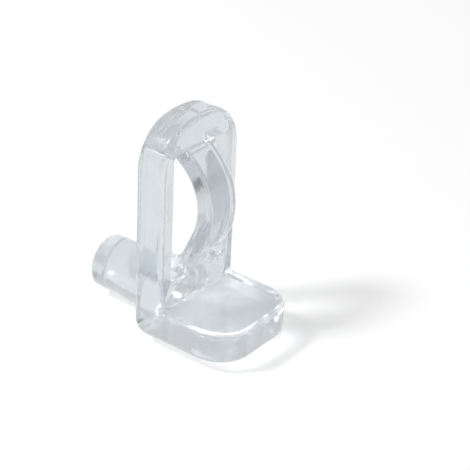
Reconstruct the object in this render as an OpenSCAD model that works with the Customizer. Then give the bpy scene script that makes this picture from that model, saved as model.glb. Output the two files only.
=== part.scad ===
// Shelf support pin with a sprung upright.
// One clear moulding: a round peg goes into the cabinet side, a foot carries the
// shelf, and a bowed web in the upright presses on the shelf's end.
// Origin: the peg's axis where it meets the back face. The foot points along +X,
// the peg along -X, and the width lies along Y.

/* [Peg] */
// Diameter of the peg's straight tip, to suit the drilled hole
peg_d = 5; // [4:0.1:6]
// Length of the peg from the back face to its free end
peg_len = 7.5; // [6.5:0.1:12]
// Diameter of the peg at the back face, where its taper ends
peg_root_d = 6.1; // [5.1:0.1:6.1]
// Length of the taper, measured from the back face
peg_taper_len = 5.5; // [1:0.1:5.5]
// Rounding of the peg's free end
peg_end_r = 0.4; // [0.1:0.05:1]

/* [Body] */
// Width of the upright and the foot
body_w = 10.4; // [9:0.1:14]
// Height of the shelf face above the peg's axis
seat_h = 0.9; // [0:0.1:2]

/* [Upright] */
// Thickness of the upright
upright_t = 3; // [2:0.1:4]
// Height of the upright's top above the shelf face
upright_rise = 17.1; // [16:0.1:22]
// Radius of the two shoulders
shoulder_r = 4.3; // [1:0.1:4.4]
// Radius of the crown between the shoulders
crown_r = 10; // [8:0.5:30]

/* [Foot] */
// Length of the foot from the back face to its front
foot_len = 10.4; // [8:0.1:16]
// Thickness of the foot
foot_t = 3; // [2:0.1:4]
// Radius of the foot's two front corners
foot_corner_r = 3.3; // [0.5:0.1:4.4]
// Radius of the heel, the lower back edge
heel_r = 1.4; // [0.3:0.1:1.9]
// Fillet between the shelf face and the upright
inner_fillet_r = 0.3; // [0.1:0.05:1]

/* [Window] */
// Width of the window across both slots
window_w = 7.1; // [5.6:0.1:7.4]
// Height of the window's sill above the shelf face
sill_h = 2.2; // [1.5:0.1:3]
// Height of the window
window_h = 12; // [11.6:0.1:12.4]
// Rounding of the window's four corners
window_corner_r = 0.4; // [0.1:0.05:0.6]

/* [Spring] */
// Width of the spring between the slots
spring_w = 3.6; // [2.5:0.1:4.4]
// How far the spring's middle stands out from the upright's front
spring_reach = 2.6; // [1:0.05:3.5]
// Thickness of the spring, the same all along its bow
spring_t = 1.7; // [0.8:0.05:2.2]
// Height of the spring's middle above the shelf face
spring_mid_h = 8.7; // [8.2:0.1:9.2]
// Radius of the bow's front
spring_r = 6.7; // [6:0.05:7.2]
// Lean of the bow's straight lower back, measured from upright
spring_lean = 24; // [18:1:28]

/* [Hidden] */
$fn = 96;

// Extra length by which a cut runs past the face it cuts, or a fillet into the
// wall it stands on
past = 1;

// Heights above the peg's axis
foot_bottom_z = seat_h - foot_t;
top_z = seat_h + upright_rise;
sill_z = seat_h + sill_h;
spring_mid_z = seat_h + spring_mid_h;

// The bow's front and back are arcs about one centre
spring_x = upright_t + spring_reach - spring_r;
hollow_r = spring_r - spring_t;

// The upright's top: the crown meets both shoulders tangentially
shoulder_y = body_w / 2 - shoulder_r;
crown_z = top_z - crown_r;
shoulder_z = crown_z + sqrt(pow(crown_r - shoulder_r, 2) - pow(shoulder_y, 2));

peg_r = peg_d / 2;
peg_root_r = peg_root_d / 2;

// Stands a drawing of Y and Z on the back face and gives it a thickness along X
module along_x(thickness) {
    rotate([90, 0, 90]) linear_extrude(thickness) children();
}

// Gives a drawing of X and Z a width along Y, half on each side of the middle
module across(width) {
    rotate([90, 0, 0]) linear_extrude(width, center = true) children();
}

// The part of a square corner that lies outside its rounding, run on past both
// of the corner's faces
module outside_arc(r) {
    difference() {
        translate([-past, -past]) square(r + past);
        translate([r, r]) circle(r);
    }
}

// Front outline of the upright, with two shoulders and a low crown
module upright_outline() {
    crown_reach = 2 * crown_r / (crown_r - shoulder_r);
    shoulder_rise = shoulder_z - crown_z;
    translate([-body_w / 2, foot_bottom_z])
        square([body_w, shoulder_z - foot_bottom_z]);
    for (side = [-1, 1])
        translate([side * shoulder_y, shoulder_z]) circle(shoulder_r);
    translate([0, crown_z])
        intersection() {
            circle(crown_r);
            polygon(crown_reach * [
                [0, 0],
                [shoulder_y, shoulder_rise],
                [-shoulder_y, shoulder_rise]
            ]);
        }
}

// Plan of the foot, with two round front corners
module foot_outline() {
    corner_y = body_w / 2 - foot_corner_r;
    translate([0, -body_w / 2]) square([foot_len - foot_corner_r, body_w]);
    translate([0, -corner_y]) square([foot_len, 2 * corner_y]);
    for (side = [-1, 1])
        translate([foot_len - foot_corner_r, side * corner_y]) circle(foot_corner_r);
}

module upright() {
    along_x(upright_t) upright_outline();
}

module foot() {
    translate([0, 0, foot_bottom_z]) linear_extrude(foot_t) foot_outline();
    across(body_w)
        translate([upright_t, seat_h]) outside_arc(inner_fillet_r);
}

// Rounding of the lower back edge, as the piece to take away
module heel_cut() {
    across(body_w + 2 * past)
        translate([0, foot_bottom_z]) outside_arc(heel_r);
}

// Front view of the window, standing on Z = 0, with four round corners
module window_outline() {
    corner_y = window_w / 2 - window_corner_r;
    translate([-corner_y, 0]) square([2 * corner_y, window_h]);
    translate([-window_w / 2, window_corner_r])
        square([window_w, window_h - 2 * window_corner_r]);
    for (side = [-1, 1])
        for (z = [window_corner_r, window_h - window_corner_r])
            translate([side * corner_y, z]) circle(window_corner_r);
}

// Side view of the hollow behind the spring: an arc about the bow's centre, and
// below it a straight run that leaves the arc tangentially and passes the sill
module hollow_outline() {
    run_len = (spring_mid_z - sill_z) / cos(spring_lean);
    translate([spring_x, spring_mid_z])
        rotate(-spring_lean) {
            circle(hollow_r);
            translate([0, -run_len]) square([hollow_r, run_len]);
        }
}

// What leaves the upright through the window: a slot on each side of the spring,
// and the hollow behind it, which opens at the back face
module window_cut() {
    difference() {
        translate([-past, 0, sill_z])
            along_x(past + upright_t + spring_reach) window_outline();
        across(spring_w)
            difference() {
                translate([-body_w, 0]) square([2 * body_w + foot_len, 2 * top_z]);
                hollow_outline();
            }
    }
}

// The spring's bow, as far as it stands out from the middle of the upright
module spring_bow() {
    root_x = upright_t / 2;
    across(spring_w)
        intersection() {
            translate([spring_x, spring_mid_z]) circle(spring_r);
            translate([root_x, spring_mid_z - spring_r])
                square([spring_reach + root_x, 2 * spring_r]);
        }
}

// Round peg: a rounded free end, a straight tip and a taper up to the back face.
// From there its root fades at 45 degrees into the upright, the heel and the
// foot's underside, which the peg reaches below
module peg() {
    taper_from = peg_len - peg_taper_len;
    difference() {
        translate([-peg_len, 0, 0])
            rotate([0, 90, 0])
                rotate_extrude() {
                    square([peg_r - peg_end_r, 2 * peg_end_r]);
                    intersection() {
                        translate([peg_r - peg_end_r, peg_end_r]) circle(peg_end_r);
                        square([peg_r, 2 * peg_end_r]);
                    }
                    polygon([
                        [0, peg_end_r],
                        [peg_r, peg_end_r],
                        [peg_r, taper_from],
                        [peg_root_r, peg_len],
                        [0, peg_len + peg_root_r]
                    ]);
                }
        // The fade stays under the shelf face in front of the upright's middle
        translate([upright_t / 2, -peg_root_r, seat_h])
            cube([peg_root_r, 2 * peg_root_r, peg_root_r]);
    }
}

module shelf_pin() {
    color([0.84, 0.89, 0.91, 0.5]) {
        difference() {
            union() {
                upright();
                foot();
                spring_bow();
            }
            window_cut();
            heel_cut();
        }
        peg();
    }
}

shelf_pin();
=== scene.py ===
"""Clear shelf support pin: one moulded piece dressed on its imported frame, with floor, light and camera."""

import logging
import math
from dataclasses import dataclass, field
from enum import Enum
from typing import Any, Callable

import bpy
import numpy as np
from mathutils import Matrix, Vector


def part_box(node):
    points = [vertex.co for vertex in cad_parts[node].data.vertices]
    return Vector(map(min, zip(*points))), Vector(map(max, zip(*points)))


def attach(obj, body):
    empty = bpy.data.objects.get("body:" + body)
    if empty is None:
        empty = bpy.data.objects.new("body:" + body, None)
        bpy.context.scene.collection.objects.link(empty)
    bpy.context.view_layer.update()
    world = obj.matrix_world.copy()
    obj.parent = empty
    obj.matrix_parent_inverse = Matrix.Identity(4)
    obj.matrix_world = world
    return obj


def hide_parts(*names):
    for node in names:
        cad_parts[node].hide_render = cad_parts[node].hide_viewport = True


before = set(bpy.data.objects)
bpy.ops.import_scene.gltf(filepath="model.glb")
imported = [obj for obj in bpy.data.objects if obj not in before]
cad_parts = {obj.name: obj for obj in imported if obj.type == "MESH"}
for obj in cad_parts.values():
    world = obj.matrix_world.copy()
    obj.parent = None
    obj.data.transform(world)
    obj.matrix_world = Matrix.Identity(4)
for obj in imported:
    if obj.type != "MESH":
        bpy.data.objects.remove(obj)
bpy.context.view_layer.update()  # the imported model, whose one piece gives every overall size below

log = logging.getLogger("shelf_pin")

MM = 0.001  # one millimetre in metres

Array = np.ndarray
Field = Callable[[Array, Array, Array], Array]
Socket = bpy.types.NodeSocket


# ---------------------------------------------------------------------------
# Distance fields: negative inside the plastic, in millimetres
# ---------------------------------------------------------------------------
def outer_edge(a: Array, b: Array, r: float) -> Array:
    """Common part of two forms, with the edge where their faces meet rounded.

    Args:
        a: Distance to the first form.
        b: Distance to the second form.
        r: Radius of the rounded edge.

    Returns:
        Distance to the part that both forms share.
    """
    flat = np.minimum(np.maximum(a, b), -r)
    return flat + np.hypot(np.maximum(a + r, 0), np.maximum(b + r, 0))


def inner_edge(a: Array, b: Array, r: float) -> Array:
    """Two forms joined, with a fillet in the corner where their faces meet.

    Args:
        a: Distance to the first form.
        b: Distance to the second form.
        r: Radius of the fillet.

    Returns:
        Distance to the joined form.
    """
    return -outer_edge(-a, -b, r)


@dataclass
class Edges:
    """Radii that the mould leaves on the edges, in millimetres."""

    face: float = 0.6
    under: float = 0.6
    window: float = 0.3
    spring: float = 0.35
    spring_root: float = 0.45
    seat_fillet: float = 0.3
    peg_fillet: float = 0.12


@dataclass
class Upright:
    """Flat plate with two shoulders and a low crown."""

    half_width: float
    thickness: float
    top: float
    shoulder_r: float = 4.3
    crown_r: float = 10.0

    def outline(self, y: Array, z: Array) -> Array:
        """Distance to the front outline, which runs on downwards without end.

        Args:
            y: Places across the width.
            z: Heights above the peg's axis.

        Returns:
            Distances, negative inside the outline.
        """
        y = np.abs(y)
        shoulder_y = self.half_width - self.shoulder_r
        crown_z = self.top - self.crown_r
        rise = math.sqrt((self.crown_r - self.shoulder_r) ** 2 - shoulder_y**2)
        above = z - crown_z - rise
        shoulder = np.hypot(np.maximum(y - shoulder_y, 0), above) - self.shoulder_r
        side = np.where(above > 0, shoulder, y - self.half_width)
        crown = np.hypot(y, z - crown_z) - self.crown_r
        on_crown = (z > crown_z) & (y * rise < (z - crown_z) * shoulder_y)
        return np.where(on_crown, crown, side)


@dataclass
class Foot:
    """Plate that carries the shelf, with round front corners and a round heel."""

    half_width: float
    length: float
    seat: float
    bottom: float
    corner_r: float = 3.3
    heel_r: float = 1.4

    def outline(self, x: Array, y: Array) -> Array:
        """Distance to the plan outline, which runs on backwards without end.

        Args:
            x: Places along the foot.
            y: Places across the width.

        Returns:
            Distances, negative inside the outline.
        """
        qx = x - self.length + self.corner_r
        qy = np.abs(y) - self.half_width + self.corner_r
        corner = np.hypot(np.maximum(qx, 0), np.maximum(qy, 0))
        return corner + np.minimum(np.maximum(qx, qy), 0) - self.corner_r


@dataclass
class Window:
    """Opening in the upright, from just above the peg's root up to the spring's head."""

    sill: float
    head: float
    half_width: float = 3.55
    corner_r: float = 0.4

    def opening(self, y: Array, z: Array) -> Array:
        """Distance to the opening's outline.

        Args:
            y: Places across the width.
            z: Heights above the peg's axis.

        Returns:
            Distances, negative in the opening.
        """
        half = (self.head - self.sill) / 2
        qy = np.abs(y) - self.half_width + self.corner_r
        qz = np.abs(z - self.sill - half) - half + self.corner_r
        corner = np.hypot(np.maximum(qy, 0), np.maximum(qz, 0))
        return corner + np.minimum(np.maximum(qy, qz), 0) - self.corner_r


@dataclass
class Spring:
    """Bowed web across the window, with a hollow behind it.

    The bow's front and back are arcs about one centre. Below its arc the back
    runs on straight, leaning from the vertical, down to the window's sill.
    """

    middle: float
    half_width: float = 1.8
    reach: float = 2.6
    thickness: float = 1.7
    front_r: float = 6.7
    lean: float = math.radians(24)

    def section(self, x: Array, z: Array, plate: float, sill: float, edges: Edges) -> Array:
        """Distance to the web's side view, with the plate that it grows out of.

        Args:
            x: Places along the foot.
            z: Heights above the peg's axis.
            plate: Thickness of the plate, in whose front face the bow ends.
            sill: Height at which the hollow ends.
            edges: Radii of the edges.

        Returns:
            Distances, negative inside the plastic.
        """
        from_centre_x = x - plate - self.reach + self.front_r
        from_centre_z = z - self.middle
        spread = np.hypot(from_centre_x, from_centre_z)
        front = inner_edge(spread - self.front_r, x - plate, edges.spring_root)
        back_r = self.front_r - self.thickness
        across = from_centre_x * math.cos(self.lean) - from_centre_z * math.sin(self.lean)
        along = -from_centre_x * math.sin(self.lean) - from_centre_z * math.cos(self.lean)
        hollow = np.where(along > 0, across, spread) - back_r
        hollow = outer_edge(hollow, sill - z, edges.window)
        return outer_edge(np.maximum(front, -x), -hollow, edges.spring)

    def web(self, y: Array, section: Array, edge_r: float) -> Array:
        """Distance to the web, cut from its side view to the spring's width."""
        return outer_edge(np.abs(y) - self.half_width, section, edge_r)


@dataclass
class Peg:
    """Round peg along -X: a straight tip, a taper, and a root that fades into the heel."""

    length: float
    root_r: float
    tip_r: float = 2.5
    taper_length: float = 5.5
    taper_blend: float = 1.2
    end_r: float = 0.4
    root_edge_r: float = 0.2

    def distance(self, x: Array, y: Array, z: Array) -> Array:
        """Distance to the peg, which fades out at 45 degrees in front of the back face.

        Args:
            x: Places along the foot, negative along the peg.
            y: Places across the width.
            z: Heights above the peg's axis.

        Returns:
            Distances, negative inside the peg.
        """
        slope = (self.root_r - self.tip_r) / self.taper_length
        spread = np.hypot(y, z)
        start = x + self.taper_length
        growth = slope * np.minimum((start + np.hypot(start, self.taper_blend)) / 2, self.taper_length)
        taper = (spread - self.tip_r - growth) / math.hypot(1, slope)
        fade = (spread - self.root_r + x) / math.sqrt(2)
        return outer_edge(outer_edge(taper, fade, self.root_edge_r), -x - self.length, self.end_r)


@dataclass
class ShelfPin:
    """The whole moulding, with every sub-part's sizes in millimetres."""

    upright: Upright
    foot: Foot
    window: Window
    spring: Spring
    peg: Peg
    edges: Edges = field(default_factory=Edges)
    grid: float = 0.105

    @classmethod
    def from_frame(cls, node: str) -> "ShelfPin":
        """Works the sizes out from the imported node's box.

        Args:
            node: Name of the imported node.

        Returns:
            The moulding, at the size of that node.
        """
        low, high = (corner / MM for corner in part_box(node))
        plate = 3.0  # thickness of the upright and of the foot
        seat = 0.9  # the shelf's seat, above the peg's axis
        sill_rise = 2.2  # this and the next two are heights above the seat
        head_rise = 14.2
        bow_rise = 8.7
        return cls(
            upright=Upright(half_width=high.y, thickness=plate, top=high.z),
            foot=Foot(half_width=high.y, length=high.x, seat=seat, bottom=seat - plate),
            window=Window(sill=seat + sill_rise, head=seat + head_rise),
            spring=Spring(middle=seat + bow_rise),
            peg=Peg(length=-low.x, root_r=-low.z),
        )

    def distance(self, x: Array, y: Array, z: Array) -> Array:
        """Distance to the moulding's surface.

        Args:
            x: Places along the foot.
            y: Places across the width.
            z: Heights above the peg's axis.

        Returns:
            Distances, negative inside the plastic.
        """
        e = self.edges
        plate = self.upright.thickness
        sides = np.maximum(self.upright.outline(y, z), self.foot.outline(x, y))
        faces = inner_edge(x - plate, z - self.foot.seat, e.seat_fillet)
        heel = outer_edge(-x, self.foot.bottom - z, self.foot.heel_r)
        body = outer_edge(outer_edge(sides, faces, e.face), heel, e.under)
        body = outer_edge(body, -self.window.opening(y, z), e.window)

        ends = np.maximum(self.window.sill - e.face - z, z - self.window.head - e.face)
        section = self.spring.section(x, z, plate, self.window.sill, e)
        web = self.spring.web(y, np.maximum(section, ends), e.spring)
        return inner_edge(np.minimum(body, web), self.peg.distance(x, y, z), e.peg_fillet)

    def build(self, name: str) -> bpy.types.Object:
        """Makes the moulding's mesh object.

        Args:
            name: Name of the object.

        Returns:
            A closed, smooth mesh in metres.
        """
        low, high = (np.array(corner / MM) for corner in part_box("shelf_pin"))
        return SurfaceNet(self.distance, low, high, self.grid).build(name)


class SurfaceNet:
    """Closed mesh on a field's zero surface, with one point in each grid cell that it crosses."""

    POLISH_STEPS = 4  # times that each point is moved towards the surface
    PROBE = 0.002  # half the span over which a gradient is measured, in millimetres
    CORNERS = 8  # of a grid cell

    def __init__(self, distance: Field, low: Array, high: Array, step: float) -> None:
        """Lays a grid round the form, symmetrical about its middle.

        Args:
            distance: The field.
            low: Lowest corner of the form's box.
            high: Highest corner of the form's box.
            step: Width of a grid cell.
        """
        self.distance = distance
        self.step = step
        centre = (low + high) / 2
        counts = np.ceil((high - low) / step / 2).astype(int) + 1
        self.axes = [c + (np.arange(-n, n) + 0.5) * step for c, n in zip(centre, counts)]

    def gradient(self, points: Array) -> Array:
        """Unit direction in which the distance grows at each point.

        Args:
            points: Places, one row a point.

        Returns:
            Outward directions, one row a point.
        """
        slopes = []
        for axis in range(3):
            probe = np.zeros(3)
            probe[axis] = self.PROBE
            slopes.append(self.distance(*(points + probe).T) - self.distance(*(points - probe).T))
        slope = np.stack(slopes, axis=1)
        return slope / np.linalg.norm(slope, axis=1, keepdims=True)

    def cell_points(self, values: Array, cells: Array) -> Array:
        """Mean of the places where the surface crosses each cell's edges.

        Args:
            values: The field on the grid.
            cells: Index of each crossed cell's low corner, one row a cell.

        Returns:
            One point for each cell, in grid units.
        """
        total = np.zeros((len(cells), 3))
        count = np.zeros(len(cells))
        for axis in range(3):
            along = np.eye(3, dtype=int)[axis]
            across = [np.eye(3, dtype=int)[other] for other in range(3) if other != axis]
            for u in (0, 1):
                for v in (0, 1):
                    start = cells + u * across[0] + v * across[1]
                    first = values[tuple(start.T)]
                    last = values[tuple((start + along).T)]
                    crossed = (first < 0) != (last < 0)
                    share = np.where(crossed, first / np.where(crossed, first - last, 1), 0)
                    total += crossed[:, None] * (start + share[:, None] * along)
                    count += crossed
        return total / count[:, None]

    def quads(self, inside: Array, index: Array) -> Array:
        """One four-sided face round each grid edge that the surface crosses.

        Args:
            inside: Whether each grid node is inside the form.
            index: Number of each cell's point, or -1.

        Returns:
            Rows of four point numbers, turned so that the normals point outwards.
        """
        faces = []
        for axis in range(3):
            near = np.take(inside, range(inside.shape[axis] - 1), axis)
            far = np.take(inside, range(1, inside.shape[axis]), axis)
            edges = np.argwhere(near != far)
            leaving = near[tuple(edges.T)]
            here = np.zeros(3, dtype=int)
            next_axis = np.eye(3, dtype=int)[(axis + 1) % 3]
            last_axis = np.eye(3, dtype=int)[(axis + 2) % 3]
            shifts = (next_axis + last_axis, last_axis, here, next_axis)
            ring = [index[tuple((edges - shift).T)] for shift in shifts]
            quad = np.stack(ring, axis=1)
            quad[~leaving] = quad[~leaving][:, ::-1]
            faces.append(quad)
        return np.concatenate(faces)

    def triangles(self, quads: Array, points: Array) -> Array:
        """Cuts each face along the diagonal that lies closer to the surface.

        Args:
            quads: Rows of four point numbers.
            points: Places, one row a point.

        Returns:
            Rows of three point numbers, two rows for each face.
        """
        a, b, c, d = quads.T
        first = np.abs(self.distance(*((points[a] + points[c]) / 2).T))
        second = np.abs(self.distance(*((points[b] + points[d]) / 2).T))
        keep = (first <= second)[:, None]
        one = np.where(keep, np.stack([a, b, c], 1), np.stack([b, c, d], 1))
        two = np.where(keep, np.stack([a, c, d], 1), np.stack([b, d, a], 1))
        return np.concatenate([one, two])

    def build(self, name: str) -> bpy.types.Object:
        """Makes the mesh object, with normals from the field itself.

        Args:
            name: Name of the object.

        Returns:
            The object, in metres, linked to the scene.
        """
        values = self.distance(*np.meshgrid(*self.axes, indexing="ij", sparse=True))
        inside = values < 0
        count = np.zeros([n - 1 for n in inside.shape], int)
        for dx in (0, 1):
            for dy in (0, 1):
                for dz in (0, 1):
                    corner = inside[dx:, dy:, dz:]
                    count += corner[: count.shape[0], : count.shape[1], : count.shape[2]]
        cells = np.argwhere((count > 0) & (count < self.CORNERS))
        index = np.full(count.shape, -1)
        index[tuple(cells.T)] = np.arange(len(cells))
        low = np.array([axis[0] for axis in self.axes])
        points = low + self.step * self.cell_points(values, cells)
        for _ in range(self.POLISH_STEPS):
            points -= self.gradient(points) * self.distance(*points.T)[:, None]
        faces = self.triangles(self.quads(inside, index), points)
        mesh = bpy.data.meshes.new(name)
        mesh.from_pydata((points * MM).tolist(), [], faces.tolist())
        mesh.shade_smooth()
        mesh.normals_split_custom_set_from_vertices(self.gradient(points).tolist())
        piece = bpy.data.objects.new(name, mesh)
        bpy.context.scene.collection.objects.link(piece)
        return piece


# ---------------------------------------------------------------------------
# Finishes
# ---------------------------------------------------------------------------
def linear(colour: str) -> tuple[float, float, float, float]:
    """Turns an sRGB colour to linear light.

    Args:
        colour: The colour in hex, such as "#dfe6ea".

    Returns:
        Red, green and blue in linear light, with full alpha.
    """
    parts = [int(colour[i : i + 2], 16) / 255 for i in (1, 3, 5)]
    light = [p / 12.92 if p <= 0.04045 else ((p + 0.055) / 1.055) ** 2.4 for p in parts]
    return (*light, 1.0)


def add_node(tree: bpy.types.NodeTree, kind: str, values: dict[str, Any] | None = None,
             **settings: Any) -> bpy.types.Node:
    """Adds a node with its settings, socket values and links.

    Args:
        tree: The node tree.
        kind: The node's type name.
        values: For each input socket, a value or the output socket to link from.
        **settings: The node's own settings.

    Returns:
        The new node.
    """
    node = tree.nodes.new(kind)
    for key, value in settings.items():
        setattr(node, key, value)
    for key, value in (values or {}).items():
        if isinstance(value, bpy.types.NodeSocket):
            tree.links.new(value, node.inputs[key])
        else:
            node.inputs[key].default_value = value
    return node


class Blend(Enum):
    """Ways in which one number is worked out of two."""

    ADD = "ADD"
    MULTIPLY = "MULTIPLY"


def combine(tree: bpy.types.NodeTree, how: Blend, a: Socket | float, b: Socket | float,
            clamp: bool = False) -> Socket:
    """Works one number out of two.

    Args:
        tree: The node tree.
        how: What is done with the two.
        a: First number or socket.
        b: Second number or socket.
        clamp: Whether the result stays between 0 and 1.

    Returns:
        The result's socket.
    """
    return add_node(tree, "ShaderNodeMath", {0: a, 1: b}, operation=how.value, use_clamp=clamp).outputs[0]


def seen_ray(tree: bpy.types.NodeTree) -> Socket:
    """Gives 1 to rays that show a background: straight, mirrored or through clear plastic.

    Args:
        tree: The node tree.

    Returns:
        The socket, which is 0 for rays that only light a surface.
    """
    path = add_node(tree, "ShaderNodeLightPath")
    mirrored = combine(tree, Blend.ADD, path.outputs["Is Camera Ray"], path.outputs["Is Glossy Ray"])
    return combine(tree, Blend.ADD, mirrored, path.outputs["Is Transmission Ray"], clamp=True)


@dataclass(frozen=True)
class ClearPlastic:
    """Clear polycarbonate, injection moulded in a polished tool, with sizes in millimetres."""

    name: str = "clear_moulded_polycarbonate"
    tint: str = "#d6dbdf"
    shade: str = "#cacaca"
    ior: float = 1.585
    polish: tuple[float, float] = (0.06, 0.14)
    haze_size: float = 2.5
    haze_range: tuple[float, float] = (0.3, 0.7)  # values of the haze that span the polish
    ripple_size: float = 1.6
    ripple_height: float = 0.04
    flow_size: float = 0.7
    flow_height: float = 0.003
    flow_squeeze: float = 0.15  # scale of the noise along the height, which draws its lines out

    def build(self) -> bpy.types.Material:
        """Makes the material.

        A soft ripple stands for the sink that a thick moulding cools with, and
        finer lines along its height for the flow of the melt. They bend what is
        seen through it, so its clear faces shimmer. The polish changes in soft
        patches, which leaves the gloss a little uneven. Shadow rays pass on
        through the plastic with the shade's tint, in place of the light that it
        would focus, so its shadow is a pale grey.

        Returns:
            The material.
        """
        material = bpy.data.materials.new(self.name)
        material.use_nodes = True
        tree = material.node_tree
        tree.nodes.clear()
        place = add_node(tree, "ShaderNodeTexCoord").outputs["Object"]
        ripple = add_node(tree, "ShaderNodeTexNoise", {
            "Vector": place, "Scale": 1 / (self.ripple_size * MM), "Detail": 1.0}).outputs["Fac"]
        drawn = add_node(tree, "ShaderNodeMapping", {
            "Vector": place, "Scale": (1.0, 1.0, self.flow_squeeze)})
        flow = add_node(tree, "ShaderNodeTexNoise", {
            "Vector": drawn.outputs[0], "Scale": 1 / (self.flow_size * MM), "Detail": 2.0}).outputs["Fac"]
        sink = add_node(tree, "ShaderNodeBump", {
            "Height": ripple, "Strength": 1.0, "Distance": self.ripple_height * MM})
        lines = add_node(tree, "ShaderNodeBump", {
            "Height": flow, "Strength": 1.0, "Distance": self.flow_height * MM, "Normal": sink.outputs[0]})
        haze = add_node(tree, "ShaderNodeTexNoise", {
            "Vector": place, "Scale": 1 / (self.haze_size * MM), "Detail": 3.0}).outputs["Fac"]
        rough = add_node(tree, "ShaderNodeMapRange", {
            "Value": haze,
            "From Min": self.haze_range[0],
            "From Max": self.haze_range[1],
            "To Min": self.polish[0],
            "To Max": self.polish[1],
        })
        plastic = add_node(tree, "ShaderNodeBsdfPrincipled", {
            "Base Color": linear(self.tint),
            "Transmission Weight": 1.0,
            "IOR": self.ior,
            "Roughness": rough.outputs[0],
            "Normal": lines.outputs[0],
        })
        passed = add_node(tree, "ShaderNodeBsdfTransparent", {"Color": linear(self.shade)})
        path = add_node(tree, "ShaderNodeLightPath")
        both = add_node(tree, "ShaderNodeMixShader", {
            0: path.outputs["Is Shadow Ray"], 1: plastic.outputs["BSDF"], 2: passed.outputs[0]})
        add_node(tree, "ShaderNodeOutputMaterial", {"Surface": both.outputs[0]})
        return material


@dataclass(frozen=True)
class PaperWhite:
    """Matt white paper that shows plain white to the camera and through the plastic."""

    name: str = "white_paper_sweep"
    paper: str = "#f4f4f4"
    glow: float = 0.315

    def build(self) -> bpy.types.Material:
        """Makes the material, whose glow and lit paper add up to about plain white.

        Returns:
            The material.
        """
        material = bpy.data.materials.new(self.name)
        material.use_nodes = True
        tree = material.node_tree
        tree.nodes.clear()
        strength = combine(tree, Blend.MULTIPLY, seen_ray(tree), self.glow)
        glow = add_node(tree, "ShaderNodeEmission", {"Strength": strength})
        paper = add_node(tree, "ShaderNodeBsdfDiffuse", {"Color": linear(self.paper)})
        both = add_node(tree, "ShaderNodeAddShader", {0: glow.outputs[0], 1: paper.outputs[0]})
        add_node(tree, "ShaderNodeOutputMaterial", {"Surface": both.outputs[0]})
        return material


# ---------------------------------------------------------------------------
# Studio
# ---------------------------------------------------------------------------
def toward(azimuth: float, elevation: float) -> Vector:
    """Unit direction of an azimuth and an elevation, both in degrees.

    Args:
        azimuth: Angle from +X towards +Y.
        elevation: Angle above the floor.

    Returns:
        The direction.
    """
    a = math.radians(azimuth)
    e = math.radians(elevation)
    return Vector((math.cos(a) * math.cos(e), math.sin(a) * math.cos(e), math.sin(e)))


@dataclass(frozen=True)
class Panel:
    """Soft-edged round card or diffuser in the surround, seen in gloss and through the plastic.

    Angles are in degrees, and a strength of 1 is as bright as the plain surround.
    """

    azimuth: float
    elevation: float
    reach: float
    strength: float
    softness: float = 10.0

    def share(self, tree: bpy.types.NodeTree, direction: Socket) -> Socket:
        """How much this panel adds to or takes from the plain surround in a direction.

        Args:
            tree: The surround's node tree.
            direction: The socket that holds the direction.

        Returns:
            The socket that holds the panel's share.
        """
        middle = add_node(tree, "ShaderNodeVectorMath", {
            0: direction, 1: toward(self.azimuth, self.elevation)}, operation="DOT_PRODUCT")
        cover = add_node(tree, "ShaderNodeMapRange", {
            "Value": middle.outputs["Value"],
            "From Min": math.cos(math.radians(self.reach + self.softness)),
            "From Max": math.cos(math.radians(self.reach)),
        }, interpolation_type="SMOOTHSTEP")
        return combine(tree, Blend.MULTIPLY, cover.outputs[0], self.strength - 1.0)


@dataclass
class Key:
    """Round soft lamp aimed at the frame's origin, in degrees, metres and watts."""

    azimuth: float = -128.0
    elevation: float = 49.0
    distance: float = 0.5
    size: float = 0.09
    power: float = 1.3

    def place(self) -> None:
        """Adds the lamp."""
        lamp = bpy.data.lights.new("key", "AREA")
        lamp.shape = "DISK"
        lamp.size = self.size
        lamp.energy = self.power
        key = bpy.data.objects.new("key", lamp)
        bpy.context.scene.collection.objects.link(key)
        key.location = toward(self.azimuth, self.elevation) * self.distance
        key.rotation_mode = "QUATERNION"
        key.rotation_quaternion = Vector(key.location).to_track_quat("Z", "Y")


@dataclass
class Camera:
    """Camera aimed at a point on the object, in millimetres and degrees."""

    aim: tuple[float, float, float] = (6.088, 0.989, 7.208)
    distance: float = 131.6
    azimuth: float = 36.11
    elevation: float = 29.04
    roll: float = 2.90
    focal_length: float = 117.58
    sensor: float = 36.0
    nearest: float = 10.0
    farthest: float = 5000.0

    def place(self) -> None:
        """Adds the camera and makes it the scene's own."""
        data = bpy.data.cameras.new("camera")
        data.sensor_width = self.sensor
        data.lens = self.focal_length
        data.clip_start = self.nearest * MM
        data.clip_end = self.farthest * MM
        camera = bpy.data.objects.new("camera", data)
        bpy.context.scene.collection.objects.link(camera)
        turn = Matrix.Rotation(math.radians(self.azimuth), 4, "Z")
        turn = turn @ Matrix.Rotation(math.radians(90 - self.elevation), 4, "X")
        turn = turn @ Matrix.Rotation(math.radians(self.roll), 4, "Z")
        back = turn.to_3x3() @ Vector((0, 0, 1))
        camera.matrix_world = Matrix.Translation((Vector(self.aim) + back * self.distance) * MM) @ turn
        bpy.context.scene.camera = camera
        log.info("camera at %s mm", [round(v / MM, 2) for v in camera.matrix_world.translation])


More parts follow.
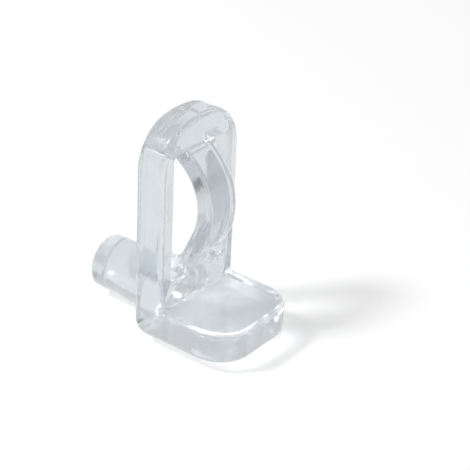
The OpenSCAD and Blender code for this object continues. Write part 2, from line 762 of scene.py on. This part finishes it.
@dataclass
class Studio:
    """Floor, surround, lamp and camera round the object.

    The floor's height is in millimetres and its reach in metres. The fill is the
    surround's strength for rays that only light a surface.
    """

    floor_height: float
    floor_reach: float = 0.6
    fill: float = 0.5
    bounces: int = 40
    key: Key = field(default_factory=Key)
    camera: Camera = field(default_factory=Camera)
    panels: tuple[Panel, ...] = (
        Panel(azimuth=0.0, elevation=90.0, reach=25.0, strength=1.15),
        Panel(azimuth=110.0, elevation=52.0, reach=12.0, strength=1.3),
        Panel(azimuth=-45.0, elevation=6.0, reach=8.0, strength=0.8),
        Panel(azimuth=45.0, elevation=10.0, reach=2.0, strength=0.4, softness=8.0),
        Panel(azimuth=-60.0, elevation=30.0, reach=4.0, strength=0.7, softness=20.0),
    )

    def floor(self) -> None:
        """Lays a wide flat floor under the object."""
        half = self.floor_reach
        z = self.floor_height * MM
        mesh = bpy.data.meshes.new("floor")
        corners = [(-half, -half, z), (half, -half, z), (half, half, z), (-half, half, z)]
        mesh.from_pydata(corners, [], [(0, 1, 2, 3)])
        mesh.materials.append(PaperWhite().build())
        floor = bpy.data.objects.new("floor", mesh)
        bpy.context.scene.collection.objects.link(floor)

    def surround(self) -> None:
        """Sets up the surround, with the panels hidden from the camera's own rays."""
        world = bpy.data.worlds.new("studio")
        bpy.context.scene.world = world
        world.use_nodes = True
        tree = world.node_tree
        tree.nodes.clear()
        direction = add_node(tree, "ShaderNodeTexCoord").outputs["Generated"]
        level: Socket | float = 1.0
        for panel in self.panels:
            level = combine(tree, Blend.ADD, level, panel.share(tree, direction))
        path = add_node(tree, "ShaderNodeLightPath")
        straight = add_node(tree, "ShaderNodeMix", {
            "Factor": path.outputs["Is Camera Ray"], "A": level, "B": 1.0})
        strength = add_node(tree, "ShaderNodeMix", {
            "Factor": seen_ray(tree), "A": self.fill, "B": straight.outputs[0]})
        back = add_node(tree, "ShaderNodeBackground", {"Strength": strength.outputs[0]})
        add_node(tree, "ShaderNodeOutputWorld", {"Surface": back.outputs[0]})

    def set_up(self) -> None:
        """Puts everything in place, with enough bounces for light to cross the clear plastic."""
        self.floor()
        self.surround()
        self.key.place()
        self.camera.place()
        scene = bpy.context.scene
        scene.view_settings.view_transform = "Standard"
        scene.cycles.max_bounces = self.bounces
        scene.cycles.glossy_bounces = self.bounces
        scene.cycles.transmission_bounces = self.bounces


def main() -> None:
    """Builds the piece and the studio."""
    logging.basicConfig(level=logging.INFO, format="%(message)s")
    pin = ShelfPin.from_frame("shelf_pin")
    piece = pin.build("shelf_pin_moulding")
    piece.data.materials.append(ClearPlastic().build())
    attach(piece, "root")
    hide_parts("shelf_pin")
    log.info("moulding: %d points, %d triangles", len(piece.data.vertices), len(piece.data.polygons))
    Studio(floor_height=-pin.peg.root_r).set_up()


if __name__ == "__main__":
    main()
